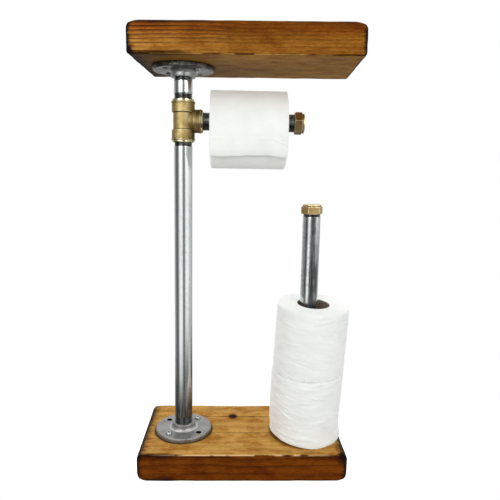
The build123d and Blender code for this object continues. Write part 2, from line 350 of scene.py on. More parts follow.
boardSize = [high - low for low, high in zip(*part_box("base_board"))]
boardSetup = dict(voxel=1.3, passes=2, sway=0.14, swayGrain=(70, 40, 40), rub=0.7, rubGrain=(24, 9, 9),
                  arris=9, dents=30, dentDepth=0.5, dentWidth=(2.5, 7.0), endRound=8.0,
                  lineFade=15, topFade=16, knotTall=50 / 3)
boards = {  # places along and across a board and up it are millimetres from its middle
    "base": dict(
        node="base_board", turn=0.0, seed=2,
        paintedShadows={"base_flange": (0.9, 4.2), "lower_roll_paper": (0.4, 2.4)},  # painted shadow round and under what stands on it: depth, fade
        ends=((17.0, 13.0), (11.0, 9.0)),  # rasped ends: reach and fall below, then above
        pith=(18, -60), ring=7.0, faceRings=0.3, plainFrom=(-160, -150), plainRings=0.8,
        early="#c69d54", late="#7d5727", tint="#d6bd98",
        lines=[(39.0, 0.85, -150, 150), (-15.0, 0.6, -50, 150), (6.0, 0.45, -55, -15), (22.0, 0.35, 40, 150),
               (60.0, 0.4, -150, 40)],  # across, depth, from, to
        knot=(-15, 38.6, 21), knotSize=(7.6, 8.2), knotDepth=1.0,
        sideTint="#946328", sidePale=(-160, -158), topTint="#d4d0d0", topFrom=12.0,
        faceTint="#fbf3ea", endTint="#f4f0ea", endFrom=(-150, -120),
        endBurn=(8.0, 9.0), faceBurn=(1.9, 1.9), lowBurn=1.7, patch=(-94, -103),
        corners=[(1, -1, 1, 22), (-1, -1, 1, 15), (1, -1, -1, 15)],  # which corner, and how far it is charred
        bareUp=1, bareFrom=(18, 60), bareShare=0.36, bareWidth=2.7, bare="#ddb381"),
    "shelf": dict(
        node="shelf_board", turn=-3.5, seed=5,
        paintedShadows={"shelf_flange": (0.9, 4.2)},
        ends=((5.0, 4.5), (19.0, 9.0)),
        pith=(-60, -76), ring=4.6, faceRings=0.7, plainFrom=(-110, -20), plainRings=0.45,
        early="#ba8138", late="#3c2109", tint="#dfcdb2",
        lines=[],
        knot=(36, -40, -21), knotSize=(5.0, 4.0), knotDepth=0.4,
        sideTint="#c9bf9e", sidePale=(-145, -10), topTint="#d2b48e", topFrom=-6.0,
        faceTint="#dbe6d7", endTint="#b3ada6", endFrom=(-130, -10),
        endBurn=(8.0, 7.0), faceBurn=(2.4, 0.9), lowBurn=1.0, patch=(-60, -90),
        corners=[(-1, -1, -1, 19), (-1, -1, 1, 14), (1, -1, 1, 9)],
        bareUp=-1, bareFrom=(14, 30), bareShare=0.49, bareWidth=1.7, bare="#c0914f"),
}


def stainedPine(name, look, paintedShadows):
    # Stained pine: honey early wood, brown late wood lines along X, darker sides, scorched edges, satin wax
    material, add, skin = newMaterial(name)
    half = [side / 2 for side in boardSize]
    point = add("TexCoord", out="Object")
    place = add("SeparateXYZ", [point]).node.outputs

    # Distances to the faces, and to the nearest edge, which is the middle one of the three
    reach = add("VectorMath", [point], "ABSOLUTE")
    inset = add("VectorMath", [half, reach], "SUBTRACT")
    sides = add("SeparateXYZ", [inset]).node.outputs
    least = add("Math", [sides[0], sides[1]], "MINIMUM")
    most = add("Math", [sides[0], sides[1]], "MAXIMUM")
    nearer = add("Math", [most, sides[2]], "MINIMUM")
    edge = add("Math", [least, nearer], "MAXIMUM")
    side = add("MapRange", [sides[1], 1.8 * mm, 0.7 * mm])  # 1 on the long sides

    # Growth rings round a pith line outside the board, clearest on the long sides
    pith = (0, -look["pith"][0] * mm, -look["pith"][1] * mm)
    log = add("Mapping", {"Vector": point, "Location": pith, "Scale": (0, 1, 1)})
    radius = add("VectorMath", [log], "LENGTH", out="Value")
    sway = add("TexNoise", {"Detail": 2.0}, grainMm=(150, 50, 50))
    wave = add("TexNoise", {"Detail": 2.0}, grainMm=(30, 12, 12))
    drift = add("Math", [sway, 8.0 * mm, -4.0 * mm], "MULTIPLY_ADD")
    wander = add("Math", [wave, 1.5 * mm, drift], "MULTIPLY_ADD")
    wavy = add("Math", [radius, wander], "ADD")
    turns = add("Math", [wavy, look["ring"] * mm], "DIVIDE")
    ring = add("Math", [turns], "FRACT")
    late = add("ValToRGB", [ring], stops=[(0.0, 0.0), (0.3, 0.1), (0.6, 0.6), (0.84, 1.0), (1.0, 0.0)])
    luck = add("TexNoise", {"Detail": 2.0}, grainMm=(130, 6, 6))
    strong = add("MapRange", [luck, 0.36, 0.6, 0.3])
    clearness = add("MapRange", [side, 0.0, 1.0, look["faceRings"]])
    plainFrom, plainTo = (along * mm for along in look["plainFrom"])
    calm = add("MapRange", [place[0], plainFrom, plainTo, 1.0, look["plainRings"]])
    lateShare = late
    for share in (calm, strong, clearness):
        lateShare = add("Math", [lateShare, share], "MULTIPLY")
    rings = add("Mix", {0: lateShare, 6: hexLinear(look["early"]), 7: hexLinear(look["late"])}, **colourMix)

    # Stain that took unevenly, fibres about 1 mm wide, and short lit flecks between them
    blotch = add("TexNoise", {"Detail": 4.0, "Roughness": 0.6}, grainMm=(32, 18, 18))
    uneven = add("MapRange", [blotch, 0.42, 0.62])
    stained = add("Mix", {0: uneven, 6: rings, 7: hexLinear(look["tint"])}, **tintMix)
    fibre = add("TexNoise", {"Detail": 4.0, "Roughness": 0.62}, grainMm=(40, 1.3, 1.3))
    streak = add("MapRange", [fibre, 0.3, 0.7, 0.78, 1.2])
    fleck = add("TexNoise", {"Detail": 2.0}, grainMm=(6.0, 1.5, 1.5))
    speckle = add("MapRange", [fleck, 0.3, 0.7, 0.8, 1.22])
    grain = add("Math", [streak, speckle], "MULTIPLY")
    fibred = add("VectorMath", {0: stained, "Scale": grain}, "SCALE")

    # Single dark growth lines on the flat faces, each at a place across the board and over a stretch of it
    drawn = fibred
    fade = boardSetup["lineFade"]
    broken = add("MapRange", [uneven, 0.0, 1.0, 0.6])
    for across, depth, start, end in look["lines"]:
        shift = add("Math", [place[1], -across * mm], "ADD")
        off = add("Math", [wander, 0.7, shift], "MULTIPLY_ADD")
        gap = add("Math", [off], "ABSOLUTE")
        thin = add("MapRange", [gap, 2.8 * mm, 0.3 * mm, 0.0, depth], **smoothStep)
        begun = add("MapRange", [place[0], (start - fade) * mm, (start + fade) * mm])
        ended = add("MapRange", [place[0], (end + fade) * mm, (end - fade) * mm])
        stretch = add("Math", [begun, ended], "MULTIPLY")
        faint = add("Math", [stretch, broken], "MULTIPLY")
        share = add("Math", [thin, faint], "MULTIPLY")
        drawn = add("Mix", {0: share, 6: drawn, 7: hexLinear("#4f2b0d")}, **colourMix)

    # The knot: a dark heart fading into the wood, which goes deep into the board
    knot = Vector(look["knot"]) * mm
    scale = [1 / (size * mm) for size in (*look["knotSize"], boardSetup["knotTall"])]
    toKnot = add("VectorMath", [point, knot], "SUBTRACT")
    eye = add("VectorMath", [toKnot, scale], "MULTIPLY")
    away = add("VectorMath", [eye], "LENGTH", out="Value")
    heart = add("MapRange", [away, 1.4, 0.6, 0.0, look["knotDepth"]], **smoothStep)
    knotted = add("Mix", {0: heart, 6: drawn, 7: hexLinear("#2e1407")}, **colourMix)

    # The long sides took more stain than the flat faces, less so at a pale end; their upper part is darker
    pale = add("MapRange", [place[0], *(along * mm for along in look["sidePale"])])
    sideShare = add("Math", [side, pale], "MULTIPLY")
    upper = add("MapRange", [place[2], look["topFrom"] * mm, (look["topFrom"] + boardSetup["topFade"]) * mm])
    upperSide = add("Math", [side, upper], "MULTIPLY")
    flat = add("Math", [1.0, side], "SUBTRACT")
    darkestAt, clean = (along * mm for along in look["endFrom"])  # the flat faces are darker to the left
    leftward = add("MapRange", [place[0], clean, darkestAt])
    darkerLeft = add("Math", [flat, leftward], "MULTIPLY")
    tinted = knotted
    tints = ((sideShare, "sideTint"), (upperSide, "topTint"), (flat, "faceTint"), (darkerLeft, "endTint"))
    for share, tint in tints:
        tinted = add("Mix", {0: share, 6: tinted, 7: hexLinear(look[tint])}, **tintMix)

    # Scorch: thin along the edges, wider at the ends with licks along the grain, a patch, charred corners
    flame = add("TexNoise", {"Detail": 4.0, "Roughness": 0.6}, grainMm=(26, 8, 8))
    lick = add("TexNoise", {"Detail": 3.0, "Roughness": 0.6}, grainMm=(24, 3.2, 3.2))
    patchTo, patchFrom = look["patch"]
    patch = add("MapRange", [place[0], patchTo * mm, patchFrom * mm, 3.4 * mm, 7.0 * mm])
    uneasy = add("MapRange", [flame, 0.35, 0.65, 0.5, 1.2])
    lower = add("MapRange", [place[2], 0.0, -5 * mm, 1.0, look["lowBurn"]])
    patched = add("Math", [lower, patch], "MULTIPLY")
    longBand = add("Math", [uneasy, patched], "MULTIPLY")
    along = add("MapRange", [edge, longBand, 0.9 * mm, 0.0, 0.94], **smoothStep)
    burnWidth = add("MapRange", [place[0], -half[0], half[0], *(wide * mm for wide in look["endBurn"])])
    licked = add("MapRange", [lick, 0.34, 0.7, 0.6, 1.7])
    wider = add("MapRange", [place[0], -half[0], half[0], *look["faceBurn"]])  # more on the flat faces
    deeper = add("MapRange", [flat, 0.0, 1.0, 1.0, wider])
    lickWidth = add("Math", [burnWidth, deeper], "MULTIPLY")
    endBand = add("Math", [licked, lickWidth], "MULTIPLY")
    core = add("Math", [burnWidth, 0.3], "MULTIPLY")
    ends = add("MapRange", [sides[0], endBand, core], **smoothStep)
    scorch = add("Math", [along, ends], "MAXIMUM")
    for *signs, size in look["corners"]:
        corner = [sign * extent for sign, extent in zip(signs, half)]
        apart = add("VectorMath", [point, corner], "DISTANCE", out="Value")
        spread = add("Math", [uneasy, size * mm], "MULTIPLY")
        charred = add("MapRange", [apart, spread, 0.45 * size * mm], **smoothStep)
        scorch = add("Math", [scorch, charred], "MAXIMUM")
    endFace = add("MapRange", [sides[0], 1.6 * mm, 0.5 * mm])
    early = add("Math", [1.0, late], "SUBTRACT")
    patchy = add("Math", [early, uneasy], "MULTIPLY")
    spared = add("Math", [patchy, endFace], "MULTIPLY")  # rings in burnt end grain
    char = add("Mix", {0: spared, 6: hexLinear("#180c07"), 7: hexLinear("#5a3417")}, **colourMix)
    burnt = add("Mix", {0: scorch, 6: tinted, 7: char}, **colourMix)

    # Rubbed arrises: bare bright wood on a thin line, in stretches, clear of the ends and the patch
    rubbing = add("TexNoise", {"Detail": 4.0}, grainMm=(30, 12, 12))
    stretch = add("MapRange", [rubbing, look["bareShare"], look["bareShare"] + 0.1])
    bareSide = sides[1] if look["bareUp"] > 0 else sides[2]
    otherSide = sides[2] if look["bareUp"] > 0 else sides[1]
    outer = add("MapRange", [bareSide, look["bareWidth"] * mm, look["bareWidth"] * 0.75 * mm])
    inner = add("MapRange", [bareSide, 0.3 * mm, 0.7 * mm])
    flush = add("MapRange", [otherSide, 2.2 * mm, 1.4 * mm])
    inward = add("MapRange", [sides[0], *(along * mm for along in look["bareFrom"])])
    clear = add("MapRange", [place[0], patchFrom * mm, patchTo * mm, 0.4])
    rubbedSide = add("MapRange", [place[2], 0.0, 5 * mm * look["bareUp"]])
    worn = stretch
    for share in (outer, inner, flush, inward, clear, rubbedSide):
        worn = add("Math", [worn, share], "MULTIPLY")
    rubbed = add("Mix", {0: worn, 6: burnt, 7: hexLinear(look["bare"])}, **colourMix)

    # Painted contact shadow: the wood is painted near black under the flange and a standing roll, and in a
    # narrow ring round them
    wood = rubbed
    for spot, rim, depth, fade in paintedShadows:
        toSpot = add("VectorMath", [point, spot], "SUBTRACT")
        level = add("VectorMath", [toSpot, (1, 1, 0)], "MULTIPLY")
        apart = add("VectorMath", [level], "LENGTH", out="Value")
        under = add("MapRange", [apart, rim + fade * mm, rim + 0.1 * fade * mm, 0.0, depth])
        facing = add("MapRange", [place[2], 0.0, spot.z])
        shadowShare = add("Math", [under, facing], "MULTIPLY")
        wood = add("Mix", {0: shadowShare, 6: wood, 7: hexLinear("#120a06")}, **colourMix)

    gloss = add("MapRange", [fibre, 0.3, 0.7, 0.46, 0.64])
    relief = add("Math", [lateShare, 0.6, fibre], "MULTIPLY_ADD")
    bump = add("Bump", {"Height": relief, "Strength": 0.4, "Distance": 0.3 * mm})
    setInputs(skin, {"Base Color": wood, "Roughness": gloss, "Specular IOR Level": 0.03, "Normal": bump})
    return material


def endDrop(toEnd, reach, fall):
    return fall * (1 - np.sqrt(np.clip(1 - np.clip((reach - toEnd) / reach, 0, 1) ** 2, 0, 1)))


def makeBoard(name, look):
    low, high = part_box(look["node"])
    place = Matrix.Translation((low + high) / 2) @ Matrix.Rotation(math.radians(look["turn"]), 4, "Z")
    setup = boardSetup
    piece = softCopy(name + "_board_planed", look["node"], setup["voxel"], setup["passes"], place)
    points = readPoints(piece.data) / mm
    half = np.array(boardSize) / 2 / mm
    toEnd = half[0] - np.abs(points[:, 0])
    plainEnd = endDrop(toEnd, setup["endRound"], setup["endRound"])
    for upward, (reach, fall) in zip((points[:, 2] < 0, points[:, 2] > 0), look["ends"]):
        stretch = (half[2] - endDrop(toEnd, reach, fall)) / (half[2] - plainEnd)
        points[upward, 2] *= stretch[upward]
    setPoints(piece.data, points * mm)
    inset = np.sort(half - np.abs(points), axis=1)
    edge = soften(1 - inset[:, 1] / setup["arris"])  # 1 on the arrises, 0 in the middle of a face
    sway = noiseField(points, setup["swayGrain"], look["seed"])
    rub = noiseField(points, setup["rubGrain"], look["seed"] + 1)
    sink = setup["sway"] * sway + edge * setup["rub"] * (0.35 + 0.65 * rub)
    dice = random.Random(look["seed"])
    for _ in range(setup["dents"]):  # knocks, deepest along the arrises
        centre = points[dice.randrange(len(points))]
        width = dice.uniform(*setup["dentWidth"])
        apart = np.linalg.norm((points - centre) * (0.6, 1, 1), axis=1) / width
        sink += setup["dentDepth"] * dice.uniform(0.4, 1.0) * np.exp(-apart ** 2) * (0.2 + 0.8 * edge)
    pushOut(piece.data, -np.clip(sink, 0, None))
    paintedShadows = []
    for node, (depth, fade) in look["paintedShadows"].items():  # how dark the painted shadow round and under what stands there is
        low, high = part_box(node)
        spot = place.inverted() @ ((low + high) / 2)
        spot.z = math.copysign(boardSize[2] / 2, spot.z)
        paintedShadows.append((spot, (high.x - low.x) / 2, depth, fade))
    skin = stainedPine(name + " stained pine", look, paintedShadows)
    finishPiece(piece, skin, "stand", look["node"])


for name, look in boards.items():
    makeBoard(name, look)
    print("board made:", name)


# Threaded pipes: galvanised tube, right-hand threads cut at both ends

pipeSetup = dict(outside=26.9, wall=2.6, pitch=1.814, depth=1.16, crestStep=0.25, crestFlat=0.2, runout=2.0,
                 around=96, threadRows=9, plainStep=2.5, boreRows=24, waver=0.02, waverGrain=60,
                 endChamfer=0.7, chamferSlope=0.8, dull=0.95, dullFade=55.0)
# Tarnish laid as painted reflection, in dark bands facing the front and the left: degrees round the pipe,
# where 0 is the front and 90 the right, and millimetres from its top
tarnishAndShadeSetup = dict(front=(-20.0, 66.0), frontFade=(12, 25), left=(-52.0, -24.0), leftFade=(12, 10),
                    leftShare=0.85, right=18.0, rightFade=10, topShare=0.2, grownFrom=15, grownFade=95,
                    cleanTop=-2.0, cleanFade=15)
pipes = {  # turns of thread at the low and the high end; dullFoot is how high the darkening at the foot reaches, -99 for none
    "main_post": dict(axis="Z", turns=(12, 10), seed=11, mottle=0.3, tarnishAndShade=0.0, dullFoot=36.0),
    "upper_nipple": dict(axis="Z", turns=(11, 9), seed=12, mottle=0.3, tarnishAndShade=0.0, dullFoot=-99.0),
    "arm_pipe": dict(axis="X", turns=(12, 12), seed=13, mottle=0.5, tarnishAndShade=0.0, dullFoot=-99.0),
    "spare_post": dict(axis="Z", turns=(12, 7), seed=14, mottle=0.8, tarnishAndShade=0.95, dullFoot=-99.0),
}


def galvanisedSteel(name, look):
    # Galvanised tube: bright zinc, blurred lines drawn along it, grey mottling, dark mottled tarnish partly
    # painted as reflection, black oil in the cut threads
    material, add, skin = newMaterial(name)
    drawn = add("TexNoise", {"Detail": 3.0}, grainMm=(2.2, 2.2, 120))
    mottle = add("TexNoise", {"Detail": 4.0, "Roughness": 0.65}, grainMm=(4, 4, 6))
    patchy = add("TexNoise", {"Detail": 2.0}, grainMm=(22, 22, 60))
    grey = add("MapRange", [mottle, 0.46, 0.62])
    where = add("MapRange", [patchy, 0.4, 0.6, 0.0, look["mottle"]])
    dulled = add("Math", [grey, where], "MULTIPLY")
    zinc = add("Mix", {0: dulled, 6: hexLinear("#d3d8d7"), 7: hexLinear("#a3a8a8")}, **colourMix)
    lined = add("MapRange", [drawn, 0.3, 0.7, 0.9, 1.06])
    streaked = add("VectorMath", {0: zinc, "Scale": lined}, "SCALE")
    darkening, cut, crest = (add("Attribute", out="Fac", attribute_name=layer)
                         for layer in ("tarnishAndShade", "thread", "crest"))
    scratch = add("TexNoise", {"Detail": 3.0, "Roughness": 0.6}, grainMm=(1.8, 1.8, 26))
    dappled = add("MapRange", [scratch, 0.34, 0.6, 0.7, 1.0])
    agedAndShaded = add("Math", [darkening, dappled], "MULTIPLY")
    darkenedTone = add("Mix", {0: agedAndShaded, 6: streaked, 7: hexLinear("#2a2d2e")}, **colourMix)
    clean = add("Math", [darkening, -0.7, 1.0], "MULTIPLY_ADD")
    cleanCrest = add("Math", [crest, clean], "MULTIPLY")
    oily = add("Mix", {0: cleanCrest, 6: hexLinear("#151716"), 7: hexLinear("#b4b7b6")}, **colourMix)
    tone = add("Mix", {0: cut, 6: darkenedTone, 7: oily}, **colourMix)
    satin = add("MapRange", [dulled, 0.0, 1.0, 0.15, 0.27])
    matt = add("Math", [agedAndShaded, 0.3, satin], "MULTIPLY_ADD")
    gloss = add("Mix", {0: cut, 2: matt, 3: 0.16})
    bump = add("Bump", {"Height": drawn, "Strength": 0.04, "Distance": 0.1 * mm})
    setInputs(skin, {"Base Color": tone, "Metallic": 1.0, "Roughness": gloss, "Normal": bump})
    return material


def stretchShare(value, span, fades):
    return soften((value - span[0]) / fades[0]) * soften((span[1] - value) / fades[1])


def tarnishAndShadeShare(angle, fromTop):
    # painted reflection: dark bands round the front and the left, mottled in the material like tarnish
    setup = tarnishAndShadeSetup
    compass = (np.degrees(angle) - 90) % 360 - 180
    share = stretchShare(compass, setup["front"], setup["frontFade"])
    left = stretchShare(compass, setup["left"], setup["leftFade"])
    # The right side is cleaner towards the top
    grown = soften((fromTop - setup["grownFrom"]) / setup["grownFade"])
    grown = setup["topShare"] + (1 - setup["topShare"]) * grown
    share *= 1 - (1 - grown) * soften((compass - setup["right"]) / setup["rightFade"])
    belowTop = soften((fromTop - setup["cleanTop"]) / setup["cleanFade"])
    return np.maximum(share, setup["leftShare"] * left) * belowTop


def makePipe(node, look):
    setup = pipeSetup
    low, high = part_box(node)
    axis = "XYZ".index(look["axis"])
    length = (high - low)[axis] / mm
    foot = (low + high) / 2
    foot[axis] = low[axis]
    place = Matrix.Translation(foot)
    if look["axis"] == "X":
        place = place @ Matrix.Rotation(math.pi / 2, 4, "Y")
    outside = setup["outside"] / 2
    pitch = setup["pitch"]
    lowCut, highCut = (turns * pitch + setup["runout"] for turns in look["turns"])
    fine = pitch / setup["threadRows"]
    rows = np.concatenate([np.arange(0, lowCut, fine),
                           np.arange(lowCut + setup["plainStep"], length - highCut, setup["plainStep"]),
                           np.arange(length - highCut, length - fine / 2, fine), [length]])
    around = np.linspace(0, 2 * math.pi, setup["around"], endpoint=False)
    height, angle = np.meshgrid(rows, around, indexing="ij")
    within = np.maximum(soften((lowCut - height) / setup["runout"]),
                        soften((height - length + highCut) / setup["runout"]))
    phase = (height / pitch - angle / (2 * math.pi)) % 1.0
    ridge = np.clip((1 - np.abs(2 * phase - 1)) * (1 + setup["crestFlat"]), 0, 1)
    radius = outside - within * (setup["crestStep"] + setup["depth"] * (1 - ridge))
    toEnd = np.minimum(height, length - height)
    radius -= np.clip(setup["endChamfer"] - toEnd, 0, None) * setup["chamferSlope"]
    ways = np.stack([np.cos(angle), np.sin(angle), height / setup["waverGrain"]], axis=-1)
    radius += setup["waver"] * noiseField(ways, (0.7, 0.7, 0.7), look["seed"]) * (1 - within)
    outer = np.stack([radius * np.cos(angle), radius * np.sin(angle), height], axis=-1)
    bore = outside - setup["wall"]
    inner = [np.stack([bore * np.cos(around), bore * np.sin(around), np.full(setup["around"], z)], axis=-1)
             for z in np.linspace(length, 0, setup["boreRows"])]
    piece = addPiece(node + "_threaded", ringMesh(node + "_threaded", np.concatenate([outer, inner])), place)
    plain = np.zeros(len(inner) * setup["around"])
    addAttribute(piece.data, "thread", np.concatenate([soften(within * 1.6).ravel(), plain]))
    addAttribute(piece.data, "crest", np.concatenate([(ridge ** 2).ravel(), plain]))
    dull = setup["dull"] * soften((look["dullFoot"] - height) / setup["dullFade"] + 1)  # darker and duller towards the foot
    tarnishAndShade = np.maximum(look["tarnishAndShade"] * tarnishAndShadeShare(angle, length - height), dull)
    addAttribute(piece.data, "tarnishAndShade", np.concatenate([tarnishAndShade.ravel(), plain]))
    skin = galvanisedSteel(node.replace("_", " ") + " galvanised steel", look)
    finishPiece(piece, skin, "stand", node)


for node, look in pipes.items():
    makePipe(node, look)
    print("pipe made:", node)


# Floor flanges: cast, with a grey sprayed zinc coat

flangeSetup = dict(voxel=0.6, passes=2, relief=0.2, reliefPasses=8, pebble=3, swell=12, wallSlope=0.6,
                   holesFrom=26.0, holesTo=39.5, bossTo=(24.0, 19.0))
flanges = {
    "base_flange": dict(
        grain=0.03, tone="#999997", dark="#7a7a78", flecks=(0.15, 0.33), rough=(0.36, 0.44), metal=0.65,
        corner=("#dcdcda", 0.8, 0.26), boss=0.0, seed=21),  # inside corners: tone (a painted highlight here and on the shelf flange, dark dirt on the spare post's flange), share, roughness
    "shelf_flange": dict(
        grain=0.14, tone="#8d8e8a", dark="#3e3f3c", flecks=(0.19, 0.40), rough=(0.3, 0.44), metal=0.8,
        corner=("#d4d6d5", 0.7, 0.36), boss=0.75, seed=22),
    "spare_post_flange": dict(
        grain=0.10, tone="#a0a2a3", dark="#717475", flecks=(0.15, 0.33), rough=(0.38, 0.5), metal=0.7,
        corner=("#3a3b3c", 0.3, 0.5), boss=0.0, seed=23),
}


def castZinc(name, look):
    # Cast iron under sprayed zinc: satin grey, pebbled by the sand mould; in the inside corners a painted
    # highlight on the base and shelf flanges and dark dirt on the spare post's flange, a painted highlight on
    # the shelf flange's boss, and painted shade in the screw holes
    material, add, skin = newMaterial(name)
    pebble = add("TexNoise", {"Detail": 3.0, "Roughness": 0.6}, grainMm=(1.8, 1.8, 1.8))
    cloud = add("TexNoise", {"Detail": 2.0}, grainMm=(14, 14, 14))
    patch = add("Math", [pebble, cloud], "MULTIPLY")
    coat = add("ValToRGB", [patch], stops=list(zip(look["flecks"], (look["dark"], look["tone"]))))
    hollow, boss, holeShade = (add("Attribute", out="Fac", attribute_name=layer)
                          for layer in ("hollow", "boss", "holeShade"))
    cornerHighlightAndDirtTone, cornerShare, cornerRough = look["corner"]
    cornerAndBoss = add("Math", [hollow, boss], "MAXIMUM")
    inner = add("Math", [cornerAndBoss, cornerShare], "MULTIPLY")
    tone = add("Mix", {0: inner, 6: coat, 7: hexLinear(cornerHighlightAndDirtTone)}, **colourMix)
    # painted shade: the walls of the screw holes are painted near black
    deep = add("Mix", {0: holeShade, 6: tone, 7: hexLinear("#0b0b0b")}, **colourMix)
    gloss = add("MapRange", [cloud, 0.35, 0.65, *look["rough"]])
    smooth = add("Mix", {0: inner, 2: gloss, 3: cornerRough})
    bump = add("Bump", {"Height": pebble, "Strength": 0.5, "Distance": look["grain"] * 2 * mm})
    setInputs(skin, {"Base Color": deep, "Metallic": look["metal"], "Roughness": smooth, "Normal": bump})
    return material


for node, look in flanges.items():
    setup = flangeSetup
    piece = softCopy(node + "_cast", node, setup["voxel"], setup["passes"])
    points = readPoints(piece.data) / mm
    addRelief(piece.data, setup["relief"], setup["reliefPasses"])
    centre = sum(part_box(node), Vector()) / 2 / mm
    across = np.hypot(points[:, 0] - centre.x, points[:, 1] - centre.y)
    upright = np.abs(readNormals(piece.data)[:, 2]) < setup["wallSlope"]
    fades, full = setup["bossTo"]  # a painted highlight makes the boss brighter than the plate on one flange
    addAttribute(piece.data, "boss", look["boss"] * soften((fades - across) / (fades - full)))
    addAttribute(piece.data, "holeShade", upright & (across > setup["holesFrom"]) & (across < setup["holesTo"]))
    pebbles = noiseField(points, [setup["pebble"]] * 3, look["seed"])
    swell = noiseField(points, [setup["swell"]] * 3, look["seed"] + 1)
    pushOut(piece.data, look["grain"] * (pebbles + swell))
    skin = castZinc(node.replace("_", " ") + " sprayed zinc", look)
    finishPiece(piece, skin, "stand", node)
    print("flange made:", node)


# Flange screws: zinc plated pan heads

screwSetup = dict(voxel=0.22, passes=2, relief=0.15, reliefPasses=8)


def zincPlate():
    # Zinc plated steel: bright bluish white with fine flecks, dark dirt in the cross slot
    material, add, skin = newMaterial("zinc plated screw")
    fleck = add("TexNoise", {"Detail": 2.0}, grainMm=(1.1, 1.1, 1.1))
    plate = add("ValToRGB", [fleck], stops=[(0.3, "#96999b"), (0.7, "#c3c6c7")])
    hollow = add("Attribute", out="Fac", attribute_name="hollow")
    tone = add("Mix", {0: hollow, 6: plate, 7: hexLinear("#2b2b2a")}, **colourMix)
    gloss = add("MapRange", [fleck, 0.0, 1.0, 0.2, 0.36])
    setInputs(skin, {"Base Color": tone, "Metallic": 1.0, "Roughness": gloss})
    return material


screwSkin = zincPlate()
for node in ("base_flange_screws", "shelf_flange_screws", "spare_post_flange_screws"):
    piece = softCopy(node + "_plated", node, screwSetup["voxel"], screwSetup["passes"])
    addRelief(piece.data, screwSetup["relief"], screwSetup["reliefPasses"])
    finishPiece(piece, screwSkin, "stand", node)
print("screws made")


# Brass fittings: sand-cast tee with turned rims, and hexagon caps turned from bar

teeSetup = dict(voxel=0.33, passes=1, relief=0.2, reliefPasses=10, creaseReach=2.4, creasePasses=24,
                bore=13.4, body=14.5, collar=16.5, bodyHalf=11.7, rim=3.3, rimFade=0.5, grain=0.05, sand=2.5,
                cone=(10, 4, 0.54),  # the branch's least radius, where it starts to widen, and how fast
                branchTarnishAndShade=0.7, branchFrom=7, branchFade=9, branchPatch=6, seed=31,
                tones=("#a8925c", "#c0ab75", "#ccba88"), rough=0.55, shine=0.5, polish=0.16)
capSetup = dict(voxel=0.24, passes=4, relief=0.22, reliefPasses=34, wall=13.3,
                grooves=dict(arm_cap=0.6, spare_post_cap=0.2), grooveWidth=0.7, fromEnd=2.6,
                tones=("#b0925a", "#c8a96f", "#d3b884"), rough=0.38, shine=0.95, polish=0.36)


def agedBrass(name, look):
    # Brass: grainy olive gold where it was cast, brown in the corners from patina and painted shade, brown
    # along the tee's branch from tarnish and painted shade, rubbed bright on edges and turned rims, the edges
    # also a painted highlight
    material, add, skin = newMaterial(name)
    sand = add("TexNoise", {"Detail": 3.0, "Roughness": 0.65}, grainMm=(1.3, 1.3, 1.3))
    cloud = add("TexNoise", {"Detail": 3.0}, grainMm=(10, 10, 10))
    cast = add("ValToRGB", [cloud], stops=list(zip((0.32, 0.52, 0.72), look["tones"])))
    turned, hollow, ridge, brownAndShade = (add("Attribute", out="Fac", attribute_name=layer)
                                    for layer in ("turned", "hollow", "ridge", "tarnishAndShade"))
    # patina and painted shade in the inside corners
    cornerDirtAndShade = add("Math", [hollow, 0.85], "MULTIPLY")
    darkenedTone = add("Mix", {0: cornerDirtAndShade, 6: cast, 7: hexLinear("#33250c")}, **colourMix)
    brownedAndShaded = add("Mix", {0: brownAndShade, 6: darkenedTone, 7: hexLinear("#6b5022")}, **colourMix)
    # wear and painted highlight on the outside edges
    worn = add("Math", [ridge, look["shine"]], "MULTIPLY")
    brightWearAndHighlight = add("Math", [worn, turned], "MAXIMUM")
    tone = add("Mix", {0: brightWearAndHighlight, 6: brownedAndShaded, 7: hexLinear("#f0e2b4")}, **colourMix)
    dull = add("MapRange", [sand, 0.3, 0.7, look["rough"] - 0.06, look["rough"] + 0.06])
    gloss = add("Mix", {0: brightWearAndHighlight, 2: dull, 3: look["polish"]})
    plain = add("Math", [1.0, turned], "SUBTRACT")
    grain = add("Math", [sand, plain], "MULTIPLY")
    bump = add("Bump", {"Height": grain, "Strength": 0.4, "Distance": 0.12 * mm})
    setInputs(skin, {"Base Color": tone, "Metallic": 1.0, "Roughness": gloss, "Normal": bump})
    return material


